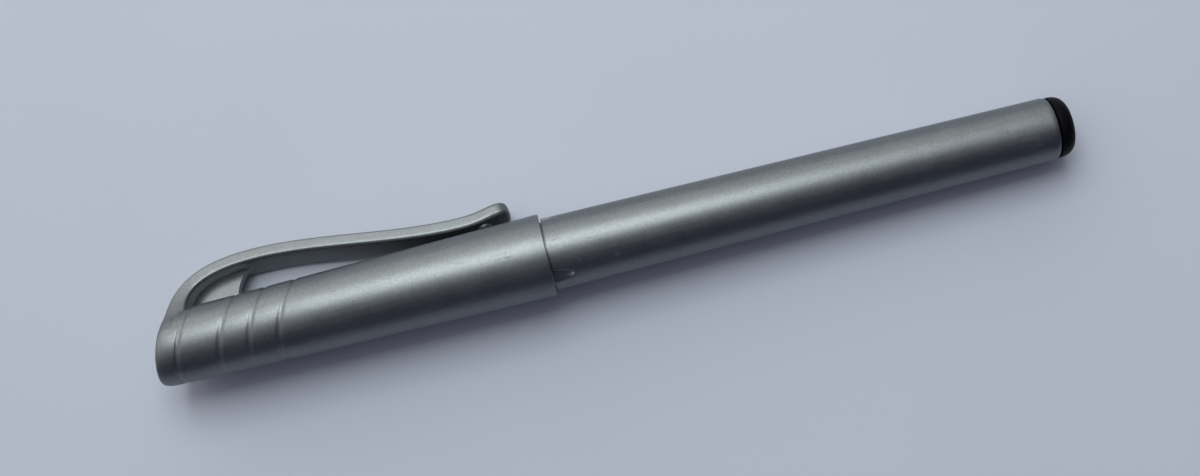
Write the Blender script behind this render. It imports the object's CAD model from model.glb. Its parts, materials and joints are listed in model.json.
# %% [markdown]
# A slim fibre-tip marker lies on a pale table. It is moulded in silver plastic, it wears its cap,
# and it leans on the edge of its pocket clip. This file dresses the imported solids: the pieces that
# show get finer meshes, every surface gets its finish, and a camera looks at the marker from the
# side where it was seen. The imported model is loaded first, because everything else is placed by it.

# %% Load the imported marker
import json
import math

import bmesh
import bpy
import numpy as np
from mathutils import Matrix, Vector
from mathutils.geometry import interpolate_bezier


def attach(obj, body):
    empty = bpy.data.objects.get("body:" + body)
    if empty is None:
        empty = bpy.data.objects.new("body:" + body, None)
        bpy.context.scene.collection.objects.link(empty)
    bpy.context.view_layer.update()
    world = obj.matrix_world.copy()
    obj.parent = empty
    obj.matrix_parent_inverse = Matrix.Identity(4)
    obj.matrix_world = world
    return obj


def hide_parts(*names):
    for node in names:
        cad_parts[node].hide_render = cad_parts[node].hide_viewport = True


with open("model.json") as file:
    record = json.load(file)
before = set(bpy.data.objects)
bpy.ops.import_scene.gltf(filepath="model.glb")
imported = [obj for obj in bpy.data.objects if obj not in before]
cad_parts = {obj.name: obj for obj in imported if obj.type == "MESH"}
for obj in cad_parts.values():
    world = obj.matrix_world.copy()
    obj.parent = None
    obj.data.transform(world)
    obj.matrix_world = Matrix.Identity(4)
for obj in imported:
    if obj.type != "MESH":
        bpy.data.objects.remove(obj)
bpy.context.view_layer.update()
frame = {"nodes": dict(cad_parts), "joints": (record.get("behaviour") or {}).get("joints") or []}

print("packed nodes:", sorted(frame["nodes"]))

# %% [markdown]
# Nearly every piece of a marker is turned about one axis, so the new meshes are easiest to write in
# the marker's own axes: X towards the clip, Y to its side, Z along the marker from the cap's closed
# end. The tilt and the roll of the resting marker could be typed in again. Here they are measured
# from the solids, so the new meshes land in the right place whatever the rest is.

# %% Measure the marker's own axes
MM = 0.001
LENGTH = 137.8
CLIP_BACK_SHARE = 0.95


def corners_of(node):
    mesh = frame["nodes"][node].data
    flat = np.empty(len(mesh.vertices) * 3)
    mesh.vertices.foreach_get("co", flat)
    return flat.reshape(-1, 3)


def middle(points, direction):
    reach = points @ np.array(direction)
    return direction * (reach.min() + reach.max()) / 2


along = -Vector(frame["joints"][0]["axis"]).normalized()
across = Vector((0, 1, 0))
ways = (along, across, along.cross(across))
on_axis = sum((middle(corners_of("nib"), way) for way in ways), Vector())
plug_end = max((Vector(p) - on_axis).dot(along) for p in corners_of("end_plug"))
closed_end = on_axis + along * (plug_end - LENGTH * MM)

from_axis = corners_of("cap_shell") - np.array(closed_end)
from_axis -= np.outer(from_axis @ np.array(along), np.array(along))
reach = np.linalg.norm(from_axis, axis=1)
outer = from_axis[reach > CLIP_BACK_SHARE * reach.max()]
guess = Vector(outer.mean(axis=0)).normalized()
swings = np.arctan2(outer @ np.array(along.cross(guess)), outer @ np.array(guess))
clip = Matrix.Rotation((swings.min() + swings.max()) / 2, 3, along) @ guess
side = along.cross(clip)

marker_axes = Matrix((clip, side, along)).transposed().to_4x4()
marker_axes.translation = closed_end
print("axis tilt %.3f degrees" % math.degrees(math.asin(-along.z)))
print("clip hangs %.2f degrees" % math.degrees(math.asin(-clip.z)))

# %% [markdown]
# The camera stands nearly straight above the table, and a little to the near side of the marker.
# Its place came from matching the marker's outline: the ends of the axis, the lip of the cap, the
# clip and the widths of both tubes. It is written in the marker's own axes, in millimetres.

# %% Camera
CAMERA_PLACE = Vector((-109.0, 208.2, 58.43))
CAMERA_LOOK = Vector((0.4655, -0.8844, 0.0343))
CAMERA_UP = Vector((0.8543, 0.4591, 0.2437))
CAMERA_LENS = 48.0
SENSOR_WIDTH = 36.0
NEAREST_SEEN = 0.01

camera_data = bpy.data.cameras.new("camera")
camera_data.lens = CAMERA_LENS
camera_data.sensor_width = SENSOR_WIDTH
camera_data.sensor_fit = "HORIZONTAL"
camera_data.clip_start = NEAREST_SEEN
camera = bpy.data.objects.new("camera", camera_data)
bpy.context.scene.collection.objects.link(camera)

turn = marker_axes.to_3x3()
back = -(turn @ CAMERA_LOOK).normalized()
right = (turn @ CAMERA_UP).cross(back).normalized()
pose = Matrix((right, back.cross(right), back)).transposed().to_4x4()
pose.translation = marker_axes @ (CAMERA_PLACE * MM)
camera.matrix_world = pose
bpy.context.scene.camera = camera
print("camera height %.0f mm" % (pose.translation.z / MM))

# %% [markdown]
# Materials are node trees. A few short helpers keep the trees readable: one adds a node and sets
# its sockets, one turns a texture's grey value into another range. A mapping node turns the
# object's coordinates into the marker's own axes in millimetres, so a grain size can be written as
# it is measured, and streaks can run along the marker.

# %% Helpers for node trees


def new_finish(name):
    finish = bpy.data.materials.new(name)
    finish.use_nodes = True
    tree = finish.node_tree
    return finish, tree, tree.nodes["Principled BSDF"]


def add(tree, kind, sockets=None, **settings):
    made = tree.nodes.new("ShaderNode" + kind)
    for key, value in settings.items():
        setattr(made, key, value)
    for key, value in (sockets or {}).items():
        if isinstance(value, bpy.types.NodeSocket):
            tree.links.new(value, made.inputs[key])
        else:
            made.inputs[key].default_value = value
    return made


def grain_space(tree, drawn_out=(1.0, 1.0, 1.0)):
    """The marker's own axes in millimetres; a pattern can be drawn out along an axis."""
    sockets = {
        "Vector": add(tree, "TexCoord").outputs["Object"],
        "Location": marker_axes.translation,
        "Rotation": marker_axes.to_euler(),
        "Scale": [MM * times for times in drawn_out],
    }
    return add(tree, "Mapping", sockets, vector_type="TEXTURE").outputs["Vector"]


def noise(tree, space, scale, detail=2.0, roughness=0.5):
    sockets = {"Vector": space, "Scale": scale, "Detail": detail, "Roughness": roughness}
    return add(tree, "TexNoise", sockets).outputs["Fac"]


def ranged(tree, value, low, high, start=0.0, end=1.0):
    sockets = {"Value": value, "From Min": start, "From Max": end, "To Min": low, "To Max": high}
    return add(tree, "MapRange", sockets).outputs["Result"]


def combined(tree, operation, first, second):
    return add(tree, "Math", {0: first, 1: second}, operation=operation).outputs["Value"]


def tinted(tree, share, dark, light):
    ramp = add(tree, "ValToRGB", {"Fac": share})
    ramp.color_ramp.elements[0].color = (*dark, 1.0)
    ramp.color_ramp.elements[1].color = (*light, 1.0)
    return ramp.outputs["Color"]


def bumped(tree, height, strength, distance):
    sockets = {"Height": height, "Strength": strength, "Distance": distance * MM}
    return add(tree, "Bump", sockets).outputs["Normal"]


print("node helpers ready")

# %% [markdown]
# The table is a sheet of smooth, faintly blue-grey board. A flat plane with one colour would do for
# the shadow, but a real board has a cloudy tone and a fine tooth, so both go into its finish. It is
# made far larger than a real one, so that even a view from low down hardly shows its edge.

# %% Table
TABLE_REACH = 4.0
TABLE_SQUARES = 8
BOARD_DARK = (0.485, 0.515, 0.59)
BOARD_PALE = (0.515, 0.545, 0.625)
BOARD_DULL = 0.75
BOARD_SHEEN = 0.25
BOARD_CLOUD = 0.02
BOARD_TOOTH = 3.0
TOOTH_DEPTH = 0.05
TOOTH_STRENGTH = 0.05

sheet = bmesh.new()
bmesh.ops.create_grid(sheet, x_segments=TABLE_SQUARES, y_segments=TABLE_SQUARES, size=TABLE_REACH)
table_mesh = bpy.data.meshes.new("table")
sheet.to_mesh(table_mesh)
sheet.free()
table = bpy.data.objects.new("table", table_mesh)
bpy.context.scene.collection.objects.link(table)

board, tree, shader = new_finish("table_board")
space = grain_space(tree)
cloud = noise(tree, space, BOARD_CLOUD, detail=3.0)
shader.inputs["Roughness"].default_value = BOARD_DULL
shader.inputs["Specular IOR Level"].default_value = BOARD_SHEEN
tree.links.new(tinted(tree, cloud, BOARD_DARK, BOARD_PALE), shader.inputs["Base Color"])
tooth = noise(tree, space, BOARD_TOOTH, detail=4.0)
tree.links.new(bumped(tree, tooth, TOOTH_STRENGTH, TOOTH_DEPTH), shader.inputs["Normal"])
table_mesh.materials.append(board)
print("table %.1f m across" % (2 * TABLE_REACH))

# %% [markdown]
# The marker is lit by a soft lamp above it, a little to the far side, and by the glow of a window
# low on that side. A round satin surface shows the lamp as a pale band that fades to dark on the
# side that faces the room, so the places of both were read from that band and from the shadow. The
# glow could be a second lamp, but it is so broad that it is simply painted on the surroundings.

# %% Light
LAMP_TOWARDS = Vector((-0.03, 0.47, 0.88)).normalized()
LAMP_DISTANCE = 0.45
LAMP_SIZE = 0.25
LAMP_POWER = 1.1
LAMP_COLOUR = (0.92, 1.0, 1.0)
WINDOW_TOWARDS = Vector((-0.40, 0.85, 0.34)).normalized()
WINDOW_GLOW = (0.985, 0.98, 0.97)
WINDOW_STRENGTH = 1.75
WINDOW_FALLOFF = 4.0
ROOM_COLOUR = (0.021, 0.019, 0.046)

lamp_data = bpy.data.lights.new("lamp", "AREA")
lamp_data.shape = "SQUARE"
lamp_data.size = LAMP_SIZE
lamp_data.energy = LAMP_POWER
lamp_data.color = LAMP_COLOUR
lamp = bpy.data.objects.new("lamp", lamp_data)
bpy.context.scene.collection.objects.link(lamp)
lamp.location = LAMP_TOWARDS * LAMP_DISTANCE
lamp.rotation_euler = LAMP_TOWARDS.to_track_quat("Z", "Y").to_euler()

world = bpy.data.worlds.new("room")
bpy.context.scene.world = world
world.use_nodes = True
tree = world.node_tree
direction = add(tree, "TexCoord").outputs["Generated"]
facing = add(tree, "VectorMath", {0: direction, 1: WINDOW_TOWARDS}, operation="DOT_PRODUCT")
nearness = ranged(tree, facing.outputs["Value"], 0.0, 1.0, -1.0, 1.0)
glow = combined(tree, "POWER", nearness, WINDOW_FALLOFF)
room = tinted(tree, glow, ROOM_COLOUR, WINDOW_GLOW)
tree.links.new(room, tree.nodes["Background"].inputs["Color"])
tree.nodes["Background"].inputs["Strength"].default_value = WINDOW_STRENGTH

bpy.context.scene.view_settings.view_transform = "Standard"
print("lamp %.0f degrees from straight up" % math.degrees(LAMP_TOWARDS.angle((0, 0, 1))))

# %% [markdown]
# Cap and barrel are moulded in plastic with fine aluminium flakes in it. That gives a surface
# between a paint and a metal: a broad sheen, a slightly cloudy tone, faint streaks along the
# marker where the melt flowed, and hair scratches from a pencil case. A bare metal shader looks too
# clean, so the sheen is broken up by flakes, streaks and scratches, each at its own scale.

# %% Silver plastic
SCRATCH_WIDTH = 0.012
SCRATCH_PATCHES = 0.35
SCRATCH_PATCH_EDGE = 0.08
SCRATCH_DULL = 0.2
SILVER_DARK = (0.145, 0.155, 0.16)
SILVER_PALE = (0.215, 0.23, 0.236)
SILVER_METAL = 0.95
SILVER_DULL = (0.39, 0.47)
SILVER_GRAIN = 6.0
SILVER_CLOUD = 0.25
SILVER_CLOUD_TONE = (0.3, 0.7)
SILVER_SCRATCHES = ((1.0, 1.0, 8.0), 0.9, 0.56)
SILVER_BUMP = (0.10, 0.03)
FLAKES_PER_MM = 5.0
FLAKE_TONE = 0.25
STREAKS = 2.6
STREAK_DRAW = 20.0
STREAK_TONE = 0.25
STREAK_DULL = 0.03


def hair_scratches(tree, drawn_out, scale, sparse):
    """Thin lines where a drawn-out noise crosses its middle value, kept only in patches."""
    space = grain_space(tree, drawn_out)
    line = combined(tree, "SUBTRACT", noise(tree, space, scale), 0.5)
    line = combined(tree, "ABSOLUTE", line, 0.0)
    line = ranged(tree, line, 1.0, 0.0, 0.0, SCRATCH_WIDTH)
    cloud = noise(tree, grain_space(tree), SCRATCH_PATCHES)
    patch = ranged(tree, cloud, 0.0, 1.0, sparse, sparse + SCRATCH_PATCH_EDGE)
    return combined(tree, "MULTIPLY", line, patch)


def silver_plastic():
    finish, tree, shader = new_finish("silver_plastic")
    space = grain_space(tree)
    flakes = add(tree, "TexVoronoi", {"Vector": space, "Scale": FLAKES_PER_MM}).outputs["Color"]
    flakes = add(tree, "SeparateColor", {"Color": flakes}).outputs["Red"]
    cloud = noise(tree, space, SILVER_CLOUD, detail=3.0)
    streaks = noise(tree, grain_space(tree, (1.0, 1.0, STREAK_DRAW)), STREAKS, detail=3.0)
    scratches = hair_scratches(tree, *SILVER_SCRATCHES)

    flecks = ranged(tree, flakes, -FLAKE_TONE, FLAKE_TONE)
    tone = combined(tree, "ADD", flecks, ranged(tree, cloud, *SILVER_CLOUD_TONE))
    tone = combined(tree, "ADD", tone, ranged(tree, streaks, -STREAK_TONE, STREAK_TONE))
    colour = tinted(tree, tone, SILVER_DARK, SILVER_PALE)
    tree.links.new(colour, shader.inputs["Base Color"])
    shader.inputs["Metallic"].default_value = SILVER_METAL

    streaky = ranged(tree, streaks, -STREAK_DULL, STREAK_DULL)
    dull = combined(tree, "ADD", ranged(tree, cloud, *SILVER_DULL), streaky)
    dull = combined(tree, "ADD", dull, ranged(tree, scratches, 0.0, SCRATCH_DULL))
    tree.links.new(dull, shader.inputs["Roughness"])

    grain = noise(tree, space, SILVER_GRAIN)
    relief = combined(tree, "ADD", grain, ranged(tree, scratches, 0.0, -1.0))
    tree.links.new(bumped(tree, relief, *SILVER_BUMP), shader.inputs["Normal"])
    return finish


SILVER = silver_plastic()
print("silver plastic: %d nodes" % len(SILVER.node_tree.nodes))

# %% [markdown]
# The end plug and the nib holder are the same smooth black plastic. Black plastic is never an even
# black: handling leaves duller patches and hair scratches, which show only in the sheen.

# %% Black plastic
BLACK_DEEP = (0.0015, 0.0015, 0.002)
BLACK_WORN = (0.004, 0.004, 0.005)
BLACK_SHEEN = 0.06
BLACK_DULL = (0.36, 0.52)
BLACK_CLOUD = 0.6
BLACK_GRAIN = 5.0
BLACK_SCRATCHES = ((1.0, 1.0, 3.0), 1.2, 0.52)
BLACK_BUMP = (0.08, 0.03)


def black_plastic():
    finish, tree, shader = new_finish("black_plastic")
    space = grain_space(tree)
    cloud = noise(tree, space, BLACK_CLOUD, detail=4.0)
    scratches = hair_scratches(tree, *BLACK_SCRATCHES)
    shader.inputs["Specular IOR Level"].default_value = BLACK_SHEEN
    tree.links.new(tinted(tree, cloud, BLACK_DEEP, BLACK_WORN), shader.inputs["Base Color"])
    marks = ranged(tree, scratches, 0.0, SCRATCH_DULL)
    dull = combined(tree, "ADD", ranged(tree, cloud, *BLACK_DULL), marks)
    tree.links.new(dull, shader.inputs["Roughness"])
    grain = noise(tree, space, BLACK_GRAIN)
    relief = combined(tree, "ADD", grain, ranged(tree, scratches, 0.0, -1.0))
    tree.links.new(bumped(tree, relief, *BLACK_BUMP), shader.inputs["Normal"])
    return finish


BLACK = black_plastic()
print("black plastic: %d nodes" % len(BLACK.node_tree.nodes))

# %% [markdown]
# Nib and reservoir are bonded fibre soaked with black ink. The fibres run along the marker, so
# their pattern is a noise that is drawn out along the axis and fine across it.

# %% Inked fibre
FIBRE_DARK = (0.006, 0.006, 0.008)
FIBRE_PALE = (0.05, 0.05, 0.056)
FIBRES_PER_MM = 14.0
FIBRE_DRAW = 16.0
FIBRE_BUMP = (0.6, 0.06)
DAMP_PATCHES = 1.1
DAMP_DULL = (0.45, 0.85)


def inked_fibre():
    finish, tree, shader = new_finish("inked_fibre")
    space = grain_space(tree, (1.0, 1.0, FIBRE_DRAW))
    fibres = noise(tree, space, FIBRES_PER_MM, detail=4.0, roughness=0.65)
    damp = noise(tree, grain_space(tree), DAMP_PATCHES, detail=2.0)
    tree.links.new(tinted(tree, fibres, FIBRE_DARK, FIBRE_PALE), shader.inputs["Base Color"])
    tree.links.new(ranged(tree, damp, *DAMP_DULL), shader.inputs["Roughness"])
    tree.links.new(bumped(tree, fibres, *FIBRE_BUMP), shader.inputs["Normal"])
    return finish


FIBRE = inked_fibre()
print("inked fibre: %d nodes" % len(FIBRE.node_tree.nodes))

# %% [markdown]
# The liner in the cap is left in the natural milky colour of its plastic, and the reservoir's
# sleeve is a thin clear film. Both are inside the marker: the liner can be seen in the open cap.

# %% Milky plastic and film
MILKY_DARK = (0.66, 0.66, 0.61)
MILKY_PALE = (0.76, 0.76, 0.72)
MILKY_CLOUD = 0.4
MILKY_DULL = (0.38, 0.55)
MILKY_GLOW = 0.15
MILKY_GLOW_DEPTH = 1.0
MILKY_GRAIN = 4.0
MILKY_BUMP = (0.08, 0.04)
FILM_DARK = (0.70, 0.72, 0.75)
FILM_PALE = (0.82, 0.84, 0.86)
FILM_FOLDS = 0.8
FILM_FOLD_DRAW = 5.0
FILM_DULL = (0.08, 0.25)
FILM_BUMP = (0.25, 0.2)


def milky_plastic():
    finish, tree, shader = new_finish("natural_plastic")
    space = grain_space(tree)
    cloud = noise(tree, space, MILKY_CLOUD, detail=3.0)
    tree.links.new(tinted(tree, cloud, MILKY_DARK, MILKY_PALE), shader.inputs["Base Color"])
    shader.inputs["Subsurface Weight"].default_value = MILKY_GLOW
    shader.inputs["Subsurface Scale"].default_value = MILKY_GLOW_DEPTH * MM
    tree.links.new(ranged(tree, cloud, *MILKY_DULL), shader.inputs["Roughness"])
    grain = noise(tree, space, MILKY_GRAIN)
    tree.links.new(bumped(tree, grain, *MILKY_BUMP), shader.inputs["Normal"])
    return finish


def clear_film():
    finish, tree, shader = new_finish("clear_film")
    folds = noise(tree, grain_space(tree, (1.0, 1.0, FILM_FOLD_DRAW)), FILM_FOLDS, detail=3.0)
    tree.links.new(tinted(tree, folds, FILM_DARK, FILM_PALE), shader.inputs["Base Color"])
    tree.links.new(ranged(tree, folds, *FILM_DULL), shader.inputs["Roughness"])
    tree.links.new(bumped(tree, folds, *FILM_BUMP), shader.inputs["Normal"])
    return finish


MILKY = milky_plastic()
FILM = clear_film()
print("milky plastic and film ready")

# %% [markdown]
# A few helpers make the meshes. A skin joins rows of points, and most pieces are rows of circles
# along the axis. An end that isn't flat is closed with strips instead of one face, or it would
# crease. A tool mesh can be joined to a piece or cut from it. A finished piece gets smooth shading
# that breaks at real edges, its finish, and the body that it moves with.

# %% Helpers for meshes
FACETS = 160
WELD = 0.0002
CREASE = math.radians(38.0)


def close_end(shape, row):
    """Closes a loop with strips from side to side, so that a bent end keeps its bend."""
    for i in range(len(row) // 2 - 1):
        shape.faces.new((row[i], row[i + 1], row[-2 - i], row[-1 - i]))


def skin(rows, ring=False, ends=True, bent_ends=False):
    """Joins rows of points in millimetres to one closed skin."""
    shape = bmesh.new()
    made = [[shape.verts.new(Vector(point) * MM) for point in row] for row in rows]
    follows = made[1:] + made[:1] if ring else made[1:]
    for row, after in zip(made, follows):
        for i in range(len(row)):
            shape.faces.new((row[i - 1], row[i], after[i], after[i - 1]))
    for row in (made[0], made[-1]):
        if bent_ends:
            close_end(shape, row)
        elif ends and not ring:
            shape.faces.new(row)
    bmesh.ops.remove_doubles(shape, verts=shape.verts, dist=WELD * MM)
    bmesh.ops.dissolve_degenerate(shape, edges=shape.edges, dist=WELD * MM)
    bmesh.ops.recalc_face_normals(shape, faces=shape.faces)
    return shape


def ringed(radius, at):
    turns = [2 * math.pi * i / FACETS for i in range(FACETS)]
    return [(radius * math.cos(turn), radius * math.sin(turn), at) for turn in turns]


def solid(name, shape):
    mesh = bpy.data.meshes.new(name)
    shape.to_mesh(mesh)
    shape.free()
    mesh.transform(marker_axes)
    made = bpy.data.objects.new(name, mesh)
    bpy.context.scene.collection.objects.link(made)
    return made


def apply_tools(piece, tools, operation):
    """Joins the tools to the piece, or cuts them from it, and clears them away."""
    for tool in tools:
        step = piece.modifiers.new(tool.name, "BOOLEAN")
        step.operation = operation
        step.solver = "EXACT"
        step.object = tool
    graph = bpy.context.evaluated_depsgraph_get()
    result = bpy.data.meshes.new_from_object(piece.evaluated_get(graph))
    piece.modifiers.clear()
    piece.data = result
    for tool in tools:
        bpy.data.objects.remove(tool, do_unlink=True)


def finished(piece, finish, body, node):
    mesh = piece.data
    mesh.materials.clear()
    mesh.materials.append(finish)
    mesh.shade_smooth()
    mesh.set_sharp_from_angle(angle=CREASE)
    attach(piece, body)
    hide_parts(node)
    print("%s: %d faces" % (piece.name, len(mesh.polygons)))


def between(low, high, share):
    return low + (high - low) * share


def eased(start, end, value):
    share = min(1.0, max(0.0, (value - start) / (end - start)))
    return share * share * (3 - 2 * share)


def rounded(radius, at, inwards, along, steps=8):
    """Quarter-round from (radius - inwards, at) to (radius, at + along)."""
    turns = [math.pi / 2 * i / steps for i in range(steps + 1)]
    return [
        (radius - inwards + inwards * math.sin(turn), at + along - along * math.cos(turn))
        for turn in turns
    ]


print("mesh helpers ready, %d facets round" % FACETS)

# %% [markdown]
# The cap's tube widens a little from its closed end to its mouth. Slanted grooves ring its closed
# end: three close together, and one that parts the tube from the crown. They lean towards the mouth
# on the clip's side. Grooves drawn with bump would vanish at the outline, so they are in the mesh,
# with a soft round floor. Each loop of the tube is slanted in the grooves and square at the lip.

# %% Cap tube
CAP_LENGTH = 58.4
CAP_END_RADIUS = 5.3
CAP_MOUTH_RADIUS = 6.15
CAP_LIP_WALL = 0.62
CAP_LIP_ROUND = 0.15
CAP_BORE_START = 9.6
CAP_BORE_END_RADIUS = 4.3
CAP_BORE_ROUND = 0.6
CAP_MOUTH_BORE = CAP_MOUTH_RADIUS - CAP_LIP_WALL
GROOVE_SLOPE = math.tan(math.radians(20.5))
CROWN_GROOVE_AT = 4.9
GROOVE_GAP = 6.3
GROOVE_PITCH = 4.4
GROOVE_COUNT = 3
GROOVE_WIDTH = 1.4
GROOVE_DEPTH = 0.13
GROOVE_STEPS = 12
CROWN_LAP = 1.5
CROWN_EDGE = 0.5
FADE_STEPS = 10
LIP_STEPS = 5


def cap_radius(at):
    return between(CAP_END_RADIUS, CAP_MOUTH_RADIUS, at / CAP_LENGTH)


def cap_bore(at):
    share = (at - CAP_BORE_START) / (CAP_LENGTH - CAP_BORE_START)
    return between(CAP_BORE_END_RADIUS, CAP_MOUTH_BORE, share)


def slanted(at, inset=0.0, lean=1.0):
    """Loop round the tube that leans towards the mouth on the clip's side."""
    loop = []
    for x, y, _ in ringed(1.0, 0.0):
        place = at + cap_radius(at) * x * GROOVE_SLOPE * lean
        radius = cap_radius(place) - inset
        loop.append((radius * x, radius * y, place))
    return loop


def groove(at, first=-1.0):
    """Loops across a groove whose section is one soft wave."""
    shares = np.linspace(first, 1.0, GROOVE_STEPS + 1)
    insets = GROOVE_DEPTH * (1 + np.cos(math.pi * shares)) / 2
    return [slanted(at + GROOVE_WIDTH / 2 * share, inset) for share, inset in zip(shares, insets)]


def cap_tube():
    start = CROWN_GROOVE_AT - CROWN_LAP
    rows = [slanted(start, CROWN_EDGE), slanted(start, GROOVE_DEPTH)]
    rows += groove(CROWN_GROOVE_AT, first=0.0)
    for number in range(GROOVE_COUNT):
        last_groove = CROWN_GROOVE_AT + GROOVE_GAP + GROOVE_PITCH * number
        rows += groove(last_groove)
    lip = CAP_LENGTH - CAP_LIP_ROUND
    for share in np.linspace(0.0, 1.0, FADE_STEPS + 1)[1:-1]:
        place = between(last_groove + GROOVE_WIDTH / 2, lip, share)
        rows.append(slanted(place, lean=1 - eased(0.0, 1.0, share)))
    edge = rounded(CAP_MOUTH_RADIUS, 0.0, CAP_LIP_ROUND, CAP_LIP_ROUND, LIP_STEPS)
    rows += [ringed(radius, CAP_LENGTH - left) for radius, left in reversed(edge)]
    inner = rounded(CAP_LIP_ROUND, 0.0, CAP_LIP_ROUND, CAP_LIP_ROUND, LIP_STEPS)
    rows += [ringed(CAP_MOUTH_BORE + CAP_LIP_ROUND - r, CAP_LENGTH - left) for r, left in inner]
    floor = rounded(CAP_BORE_END_RADIUS, CAP_BORE_START, CAP_BORE_ROUND, CAP_BORE_ROUND, LIP_STEPS)
    rows += [ringed(radius, at) for radius, at in reversed(floor)]
    return skin(rows)


cap = solid("cap_silver", cap_tube())
print("cap tube: %d faces" % len(cap.data.polygons))

# %% [markdown]
# Crown and clip are one flowing form: the end of the cap is a slanted round plate, and the plate
# draws out into the strap that arches over the cap. A strap joined to a disc would leave a crease,
# so the whole form is drawn flat first, as a round plate with a long tail, and then bent along the
# clip's line. First comes that line: straight across the crown, up, over the hump, down to the dip
# near the mouth and up again at the tip.

# %% The line that crown and clip follow
CROWN_RADIUS = CAP_END_RADIUS
CROWN_EDGE_DEPTH = 2.15
CROWN_SLOPE = math.tan(math.radians(16.7))
CROWN_CORNER = math.hypot(CROWN_EDGE * CROWN_SLOPE, CROWN_EDGE_DEPTH) - CROWN_EDGE_DEPTH
CROWN_AT = (CROWN_RADIUS - CROWN_EDGE) * CROWN_SLOPE + CROWN_CORNER
CLIP_THICKNESS = 1.95
ROOT_HEIGHT = 2.2
RISE_HANDLE = 3.9
HUMP = Vector((11.97, 16.5))
HUMP_HANDLE = 13.0
DIP_AT = 46.8
DIP_GAP = 0.58
TIP_AT = 54.3
TIP_ROUND = 2.2
TIP_RISE = 0.85
FALL_EASE = 0.32
FLARE_EASE = 0.5
TIP_EASE = 0.25
LINE_STEPS = 60


def clip_runs():
    """Curves of (height above the axis, station): rise, fall and flare."""
    rise = Vector((1.0, GROOVE_SLOPE)).normalized()
    root = Vector((ROOT_HEIGHT, CROWN_AT + ROOT_HEIGHT * CROWN_SLOPE))
    dip = Vector((cap_radius(DIP_AT) + DIP_GAP + CLIP_THICKNESS, DIP_AT))
    tip = Vector((dip.x + TIP_RISE, TIP_AT - TIP_ROUND))
    forward = Vector((0.0, 1.0))
    fall = forward * (dip.y - HUMP.y) * FALL_EASE
    flare = forward * (tip.y - dip.y) * FLARE_EASE
    flick = (tip - dip) * TIP_EASE
    return (
        (root, root + rise * RISE_HANDLE, HUMP - forward * HUMP_HANDLE, HUMP),
        (HUMP, HUMP + fall, dip - fall, dip),
        (dip, dip + flare, tip - flick, tip),
    )


def clip_line():
    """Rows of (way along, height, station, lean). Across the crown the way is the height itself."""
    below = 2 * CROWN_RADIUS
    points = [Vector((-below, CROWN_AT - below * CROWN_SLOPE))]
    runs = clip_runs()
    for run in runs:
        points += interpolate_bezier(*run, LINE_STEPS + 1)[:-1]
    tip = runs[-1][-1]
    points += [tip, tip + (tip - points[-1]).normalized() * 2 * TIP_ROUND]
    way = [-below, ROOT_HEIGHT]
    for before, after in zip(points[1:], points[2:]):
        way.append(way[-1] + (after - before).length)
    turns = [after - before for before, after in zip(points[:1] + points, points[1:] + points[-1:])]
    leans = [math.atan2(turn.y, turn.x) for turn in turns]
    return np.array([(t, point.x, point.y, lean) for t, point, lean in zip(way, points, leans)])


LINE = clip_line()
HUMP_WAY = LINE[LINE_STEPS + 1, 0]
DIP_WAY = LINE[2 * LINE_STEPS + 1, 0]
TIP_WAY = LINE[-2, 0]
print("clip line %.1f mm long" % (TIP_WAY + CROWN_RADIUS))

# %% [markdown]
# Next comes the flat plate's outline, as a half width for each place along the line: a circle for
# the crown, a flare that runs out of it into the strap, an even strap and a blunt tip. Rounded
# edges are made by stepping inwards from this outline, so the rim of the crown and the edges of the
# strap are one continuous edge. The plate is thick at the crown, where its lower edge makes one
# side of the groove.

# %% Crown and clip
STRAP_HALF = 2.35
STRAP_EDGE = 0.35
STRAP_INNER_EDGE = 0.45
STRAP_BLEND = 5.5
NECK_HEIGHT = 10.4
NECK_EASE = 1.6
FLARE_HEIGHT = 4.4
ROOT_INSET = 0.25
ROOT_HALF = math.sqrt(CROWN_RADIUS ** 2 - ROOT_HEIGHT ** 2) - ROOT_INSET
CROWN_LOWER_EDGE = 0.3
CROWN_GROOVE_LAP = 0.15
CROWN_THICKNESS = CROWN_GROOVE_AT - CROWN_GROOVE_LAP - CROWN_AT
CROWN_DOME = 0.15
TIP_SQUARE = 2.6
TIP_SWELL = 0.15
TIP_EDGE = 0.6
CROWN_STEPS = 36
NECK_STEPS = 70
STRAP_STEPS = 60
TIP_STEPS = 16
LOWER_EDGE_STEPS = 6
FACE_SHARES = (0.0, 0.25, 0.5, 0.75)
SIDE_SHARES = (0.33, 0.67)


def on_line(t):
    return [float(np.interp(t, LINE[:, 0], LINE[:, column])) for column in (1, 2, 3)]


def strap_share(t):
    """0 on the crown, easing to 1 where the plate has become the strap."""
    return eased(0.0, STRAP_BLEND, t)


def tip_share(t):
    """0 on the strap, easing to 1 at the clip's tip."""
    return eased(DIP_WAY, TIP_WAY, t)


def root_share(height):
    """1 where the strap leaves the crown, easing to 0 at its neck."""
    left = (NECK_HEIGHT - height) / (NECK_HEIGHT - ROOT_HEIGHT)
    return min(1.0, max(0.0, left)) ** NECK_EASE


def plate_half(height):
    flared = between(STRAP_HALF, ROOT_HALF, root_share(height))
    disc = math.sqrt(max(0.0, CROWN_RADIUS ** 2 - height ** 2))
    return between(disc, flared, eased(0.0, FLARE_HEIGHT, height))


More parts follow.
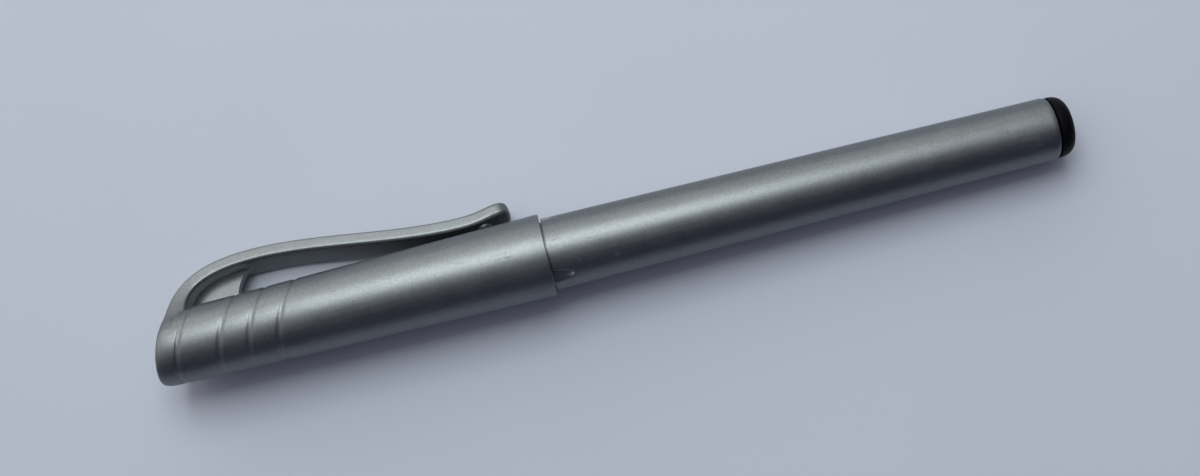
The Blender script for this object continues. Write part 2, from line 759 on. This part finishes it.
def plate_outline():
    """(way along, half width) pairs from the crown's low side to the clip's tip."""
    turns = np.linspace(0.0, math.pi / 2, CROWN_STEPS)
    outline = [(-CROWN_RADIUS * math.cos(a), CROWN_RADIUS * math.sin(a)) for a in turns]
    outline += [(t, plate_half(on_line(t)[0])) for t in np.linspace(0.0, HUMP_WAY, NECK_STEPS)[1:]]
    outline += [(t, STRAP_HALF) for t in np.linspace(HUMP_WAY, TIP_WAY, STRAP_STEPS)[1:]]
    for a in np.linspace(0.0, math.pi / 2, TIP_STEPS)[1:]:
        half = (1 - math.sin(a) ** TIP_SQUARE) ** (1 / TIP_SQUARE)
        outline.append((TIP_WAY + TIP_ROUND * math.sin(a), STRAP_HALF * half))
    return np.array(outline)


def plate_depth(t):
    height = on_line(min(t, HUMP_WAY))[0]
    crown = CROWN_THICKNESS + min(height, ROOT_HEIGHT) * (GROOVE_SLOPE - CROWN_SLOPE)
    return between(CLIP_THICKNESS, crown, root_share(height)) + TIP_SWELL * tip_share(t)


def bent(t, across, depth):
    """Puts a point of the flat plate on the bent line. Depth goes inwards from the outer face."""
    height, at, lean = on_line(t)
    lean *= strap_share(t)
    return (height - depth * math.sin(lean), across, at + depth * math.cos(lean))


def dome(t, across):
    left = max(0.0, 1 - (t * t + across * across) / (CROWN_RADIUS - CROWN_EDGE) ** 2)
    return CROWN_DOME * left * (1 - strap_share(t))


def plate_row(t, half, outwards):
    """One loop round the plate, from the middle of the outer face round to it again."""
    strap = strap_share(t)
    deep = plate_depth(t)
    strap_edge = between(STRAP_EDGE, TIP_EDGE, tip_share(t))
    edge = between(CROWN_EDGE, strap_edge, strap)
    edge_depth = between(CROWN_EDGE_DEPTH, strap_edge, strap)
    lower = between(CROWN_LOWER_EDGE, between(STRAP_INNER_EDGE, TIP_EDGE, tip_share(t)), strap)
    path = [(edge - r, depth) for r, depth in rounded(edge, 0.0, edge, edge_depth)]
    path += [(0.0, between(edge_depth, deep - lower, share)) for share in SIDE_SHARES]
    under = rounded(lower, 0.0, lower, lower, LOWER_EDGE_STEPS)
    path += [(lower - r, deep - left) for r, left in reversed(under)]
    rim = [(t - outwards[0] * i, max(0.0, half - outwards[1] * i), depth) for i, depth in path]
    top, bottom = rim[0], rim[-1]
    loop = [(top[0], top[1] * share, -dome(top[0], top[1] * share)) for share in FACE_SHARES]
    loop += rim
    loop += [(bottom[0], bottom[1] * share, bottom[2]) for share in reversed(FACE_SHARES)]
    loop += [(place, -across, depth) for place, across, depth in loop[-2:0:-1]]
    return [bent(*point) for point in loop]


def crown_and_clip():
    outline = plate_outline()
    slope = np.gradient(outline, axis=0)
    outwards = np.stack([-slope[:, 1], slope[:, 0]], axis=1)
    outwards /= np.linalg.norm(outwards, axis=1)[:, None]
    outwards[0], outwards[-1] = (-1.0, 0.0), (1.0, 0.0)
    rows = [plate_row(t, half, out) for (t, half), out in zip(outline, outwards)]
    return skin(rows, ends=False)


crown_clip = solid("crown_clip", crown_and_clip())
print("crown and clip: %d faces" % len(crown_clip.data.polygons))

# %% [markdown]
# Under the arch a thin web stiffens the clip's root. Its free edge is a hollow curve from the cap
# up to the strap. Its faces are flat by the cap and curve in towards the strap, so they turn away
# from the light there, and the corner under the strap is dark. A plate with straight sides would
# miss that. So the web is skinned level by level, from the cap up to the strap, and each point's
# thickness follows its distance to the strap.

# %% Web
WEB_HALF = 0.6
WEB_THINNING = 0.4
WEB_THIN_REACH = 2.0
WEB_THIN_EASE = 1.7
WEB_START = 6.5
WEB_REACH = 12.85
WEB_ARC = 4.2
WEB_SINK = 0.7
WEB_BEND = 3
WEB_COLUMNS = 24
WEB_LEVELS = 30


def web_half(inner, x, at):
    """Half the web's thickness: even by the cap, and thinner where it nears the strap."""
    near = max(0.0, 1 - np.hypot(inner[:, 0] - x, inner[:, 1] - at).min() / WEB_THIN_REACH)
    return WEB_HALF - WEB_THINNING * near ** WEB_THIN_EASE


def web():
    strap = LINE[LINE[:, 0] > STRAP_BLEND]
    head_end = np.interp(WEB_REACH + WEB_ARC, strap[:, 2], strap[:, 0])
    ways = np.linspace(STRAP_BLEND, head_end, WEB_COLUMNS)
    heads = [bent(t, 0.0, CLIP_THICKNESS - WEB_SINK / 2) for t in ways]
    feet = np.linspace(WEB_START, WEB_REACH, WEB_COLUMNS)
    shares = np.linspace(0.0, 1.0, WEB_COLUMNS)
    inner = np.array([bent(t, 0.0, plate_depth(t))[::2] for t in LINE[:, 0]])
    rows = []
    for turn in np.linspace(0.0, math.pi / 2, WEB_LEVELS):
        straight, hollow = math.sin(turn), 1 - math.cos(turn)
        loop = []
        for foot, head, share in zip(feet, heads, shares):
            x = between(cap_radius(foot) - WEB_SINK, head[0], straight)
            at = between(foot, head[2], between(straight, hollow, share ** WEB_BEND))
            loop.append((x, web_half(inner, x, at), at))
        rows.append(loop + [(x, -y, at) for x, y, at in reversed(loop)])
    return skin(rows, bent_ends=True)


web_tool = solid("web", web())
print("web: %d faces" % len(web_tool.data.polygons))

# %% [markdown]
# Near the tip, a small bead under the strap grips the cloth. Then crown, clip, web and bead are
# joined to the tube: the cap is one moulding, so its mesh becomes one closed skin.

# %% Bead and the join
BEAD_AT = 50.3
BEAD_HALF_WIDTH = 1.3
BEAD_HALF_LENGTH = 1.2
BEAD_GAP = 0.15
BEAD_FACETS = 48


def bead():
    strap = LINE[LINE[:, 0] > STRAP_BLEND]
    inside = np.interp(BEAD_AT, strap[:, 2], strap[:, 1]) - CLIP_THICKNESS
    depth = inside - cap_radius(BEAD_AT) - BEAD_GAP
    shape = bmesh.new()
    size = Matrix.Diagonal((depth * MM, BEAD_HALF_WIDTH * MM, BEAD_HALF_LENGTH * MM, 1.0))
    place = Matrix.Translation((inside * MM, 0, BEAD_AT * MM))
    bmesh.ops.create_uvsphere(
        shape, u_segments=BEAD_FACETS, v_segments=BEAD_FACETS // 2, radius=1.0, matrix=place @ size
    )
    return shape


apply_tools(cap, [web_tool, solid("bead", bead()), crown_clip], "UNION")
finished(cap, SILVER, "cap", "cap_shell")

# %% [markdown]
# The barrel fits the cap's bore, then tapers to the rear and turns in softly at its end. A narrow
# groove right behind the cap's lip makes the dark line between the two. The barrel is a hollow
# tube, and five thin ribs in its bore hold the reservoir in the middle. It is skinned as one ring
# of loops, out along the outside and back through the bore, so that it closes on itself.

# %% Barrel
FIT_GAP = 0.16
NECK_FRONT = 27.1
NECK_RADIUS = 3.7
NECK_CHAMFER = 0.3
NECK_BORE = 2.6
NECK_BORE_END = 35.7
SHOULDER_AT = 32.1
SHOULDER_TOP = 33.1
BORE_FRONT = 36.7
BORE_RADIUS = 3.7
BORE_DRAFT = 0.1
BARREL_END = 135.25
BARREL_REAR_RADIUS = 4.7
BARREL_REAR_ROUND = 0.9
BARREL_REAR_DROP = 0.28
BARREL_FRONT_RADIUS = CAP_MOUTH_BORE - FIT_GAP
RELIEF_START = 57.9
RELIEF_END = 58.63
RELIEF_DEPTH = 0.5
RIB_COUNT = 5
RIB_TIP = 3.32
RIB_HALF = 4
RIB_ENDS = (38.95, 123.25)
RIB_RAMP = 0.5
FRONT_LOOPS = 12
REAR_LOOPS = 16


def barrel_radius(at):
    if at < CAP_LENGTH:
        return cap_bore(at) - FIT_GAP
    share = (at - CAP_LENGTH) / (BARREL_END - CAP_LENGTH)
    return between(BARREL_FRONT_RADIUS, BARREL_REAR_RADIUS, share)


def bore_loop(at, ribs=0.0):
    """Loop in the bore; each rib is a tent of a few facets."""
    share = (at - BORE_FRONT) / (BARREL_END - BORE_FRONT)
    bore = between(BORE_RADIUS, BORE_RADIUS + BORE_DRAFT, share)
    every = FACETS // RIB_COUNT
    loop = []
    for i, (x, y, _) in enumerate(ringed(1.0, 0.0)):
        away = min(i % every, every - i % every)
        radius = between(bore, RIB_TIP, ribs * max(0.0, 1 - away / RIB_HALF))
        loop.append((radius * x, radius * y, at))
    return loop


def barrel_tube():
    outside = [(NECK_RADIUS - NECK_CHAMFER, NECK_FRONT), (NECK_RADIUS, NECK_FRONT + NECK_CHAMFER)]
    outside += [(NECK_RADIUS, SHOULDER_AT)]
    before = np.linspace(SHOULDER_TOP, RELIEF_START, FRONT_LOOPS)
    outside += [(barrel_radius(at), at) for at in before]
    outside += [(barrel_radius(at) - RELIEF_DEPTH, at) for at in (RELIEF_START, RELIEF_END)]
    rear_edge = BARREL_END - BARREL_REAR_ROUND
    behind = np.linspace(RELIEF_END, rear_edge, REAR_LOOPS)[:-1]
    outside += [(barrel_radius(at), at) for at in behind]
    rear = rounded(barrel_radius(rear_edge), 0.0, BARREL_REAR_DROP, BARREL_REAR_ROUND)
    outside += [(radius, BARREL_END - left) for radius, left in reversed(rear)]
    rows = [ringed(radius, at) for radius, at in outside]
    rows += [bore_loop(BARREL_END), bore_loop(RIB_ENDS[1] + RIB_RAMP), bore_loop(RIB_ENDS[1], 1.0)]
    rows += [bore_loop(RIB_ENDS[0], 1.0), bore_loop(RIB_ENDS[0] - RIB_RAMP)]
    rows += [ringed(BORE_RADIUS, BORE_FRONT), ringed(NECK_BORE, NECK_BORE_END)]
    rows += [ringed(NECK_BORE, NECK_FRONT)]
    return skin(rows, ring=True)


barrel = solid("barrel_silver", barrel_tube())
print("barrel tube: %d faces" % len(barrel.data.polygons))

# %% [markdown]
# Three long finger scoops are hollowed out of the barrel's front, and the end of one peeps out of
# the cap like a small tongue. A ball or a rod cut from the tube would fade out all round, but here
# one long side shows a clear line. So each scoop is a row of sections cut from the tube, with a
# leaf-shaped outline. Its floor starts level with the tube on one side, and deepens to a step with
# a round rim on the other.

# %% Finger scoops
SCOOP_COUNT = 3
SCOOP_PHASE = math.radians(158.0)
SCOOP_PEEP = 3.4
SCOOP_LENGTH = 28.0
SCOOP_MIDDLE = CAP_LENGTH + SCOOP_PEEP - SCOOP_LENGTH / 2
SCOOP_HALF = 2.2
SCOOP_DISH = 0.2
SCOOP_STEP = 0.45
SCOOP_RIM = 0.42
SCOOP_POINT = 0.8
SCOOP_TIP_SHARE = 0.985
SCOOP_FADE = 0.06
SCOOP_ABOVE = 0.6
SCOOP_FLOOR_POINTS = 15
SCOOP_RIM_POINTS = 7
SCOOP_SECTIONS = 61


def scoop_row(share):
    """A scoop's section, from -1 at its front to 1 at its rear: floor, step and round rim."""
    at = SCOOP_MIDDLE + share * SCOOP_LENGTH / 2
    radius = barrel_radius(at)
    leaf = 1 - share * share
    half = SCOOP_HALF * leaf ** SCOOP_POINT
    step = SCOOP_STEP * min(1.0, leaf / SCOOP_FADE)
    rim = SCOOP_RIM * step / SCOOP_STEP
    path = []
    for across in np.linspace(1.0, -1.0, SCOOP_FLOOR_POINTS):
        deep = step * (1 - across) / 2 + SCOOP_DISH * leaf * (1 - across * across)
        path.append((half * across, deep))
    for turn in np.linspace(0.0, math.pi / 2, SCOOP_RIM_POINTS):
        path.append((-half - rim * (1 - math.cos(turn)), rim * (1 - math.sin(turn))))
    row = [(math.sqrt(radius ** 2 - y * y) - deep, y, at) for y, deep in path]
    above = radius + SCOOP_ABOVE
    return row + [(above, path[-1][0], at), (above, path[0][0], at)]


def finger_scoop(number):
    turn = Matrix.Rotation(SCOOP_PHASE + 2 * math.pi * number / SCOOP_COUNT, 3, "Z")
    shares = np.sin(np.linspace(-1.0, 1.0, SCOOP_SECTIONS) * math.asin(SCOOP_TIP_SHARE))
    rows = [[turn @ Vector(point) for point in scoop_row(share)] for share in shares]
    return solid("finger_scoop_%d" % number, skin(rows))


apply_tools(barrel, [finger_scoop(number) for number in range(SCOOP_COUNT)], "DIFFERENCE")
finished(barrel, SILVER, "pen", "barrel")

# %% [markdown]
# The black end plug closes the barrel. Its head is nearly flush with the barrel and well rounded at
# the end, and a hollow skirt is pressed into the bore. A turned piece is only a profile, so the
# care goes into the profile: the round edge, the step at the seam and the lead-in of the skirt.

# %% End plug
PLUG_RADIUS = 4.57
PLUG_ROUND = 1.4
PLUG_ROUND_LENGTH = 2.0
PLUG_SEAM = 135.5
PLUG_EDGE = 0.12
SKIRT_FRONT = 125.5
SKIRT_RADIUS = 3.63
SKIRT_WALL = 0.9
SKIRT_CHAMFER = 0.4
PLUG_STEPS = 14


def turned(profile, ring=False):
    """Turns (radius, station) points; a profile that starts and ends on the axis closes there."""
    return skin([ringed(radius, at) for radius, at in profile], ring=ring, ends=False)


def end_plug():
    head = rounded(PLUG_RADIUS, 0.0, PLUG_ROUND, PLUG_ROUND_LENGTH, PLUG_STEPS)
    profile = [(0.0, LENGTH)] + [(radius, LENGTH - left) for radius, left in head]
    profile += [(PLUG_RADIUS, PLUG_SEAM + PLUG_EDGE), (PLUG_RADIUS - PLUG_EDGE, PLUG_SEAM)]
    profile += [(SKIRT_RADIUS, PLUG_SEAM), (SKIRT_RADIUS, SKIRT_FRONT + SKIRT_CHAMFER)]
    hollow = SKIRT_RADIUS - SKIRT_WALL
    profile += [(SKIRT_RADIUS - SKIRT_CHAMFER, SKIRT_FRONT), (hollow, SKIRT_FRONT)]
    profile += [(hollow, PLUG_SEAM), (0.0, PLUG_SEAM)]
    return turned(profile)


finished(solid("end_plug_black", end_plug()), BLACK, "pen", "end_plug")

# %% [markdown]
# With the cap off, a black nose cone shows, with the fibre nib in its tip. The cone is turned like
# the plug, with a small round at its front edge. The nib is a slim rod with a blunt round point.

# %% Nib holder and nib
HOLDER_FRONT = 15.9
HOLDER_SEAT = 26.85
HOLDER_END = 34.85
HOLDER_HOLE = 1.16
HOLDER_WALL = 0.5
HOLDER_COLLAR = 3.4
HOLDER_COLLAR_LENGTH = 2.5
HOLDER_SPIGOT = 2.44
HOLDER_NOSE_ROUND = 0.2
HOLDER_BEVEL = 0.12
HOLDER_BEVEL_LENGTH = 0.4
NIB_TIP = 13.1
NIB_END = 45.1
NIB_RADIUS = 1.0
NIB_POINT_RADIUS = 0.45
NIB_POINT_LENGTH = 2.2
NIB_EDGE = 0.03
NIB_EDGE_LENGTH = 0.2


def nib_holder():
    nose = HOLDER_HOLE + HOLDER_WALL
    profile = [(HOLDER_HOLE, HOLDER_FRONT)]
    collar = HOLDER_SEAT - HOLDER_COLLAR_LENGTH
    profile += rounded(nose, HOLDER_FRONT, HOLDER_NOSE_ROUND, HOLDER_NOSE_ROUND, LIP_STEPS)
    profile += [(HOLDER_COLLAR - HOLDER_BEVEL, collar - HOLDER_BEVEL_LENGTH)]
    profile += [(HOLDER_COLLAR, collar), (HOLDER_COLLAR, HOLDER_SEAT)]
    profile += [(HOLDER_SPIGOT, HOLDER_SEAT), (HOLDER_SPIGOT, HOLDER_END)]
    profile += [(HOLDER_HOLE, HOLDER_END)]
    return turned(profile, ring=True)


def nib():
    shoulder = NIB_TIP + NIB_POINT_LENGTH
    profile = rounded(NIB_POINT_RADIUS, NIB_TIP, NIB_POINT_RADIUS, NIB_POINT_RADIUS)
    profile += [(NIB_RADIUS - NIB_EDGE, shoulder - NIB_EDGE_LENGTH)]
    profile += [(NIB_RADIUS, shoulder), (NIB_RADIUS, NIB_END), (0.0, NIB_END)]
    return turned(profile)


finished(solid("nib_holder_black", nib_holder()), BLACK, "pen", "nib_holder")
finished(solid("nib_fibre", nib()), FIBRE, "pen", "nib")

# %% [markdown]
# The liner, the reservoir and its sleeve are right as they were packed: they are plain turned
# pieces inside the marker. They keep their solids and only get their finishes.

# %% Inner pieces
for node, finish in (("cap_liner", MILKY), ("reservoir_core", FIBRE), ("reservoir_wrap", FILM)):
    for place in frame["nodes"][node].material_slots:
        place.material = finish
    print(node, "keeps its solid")
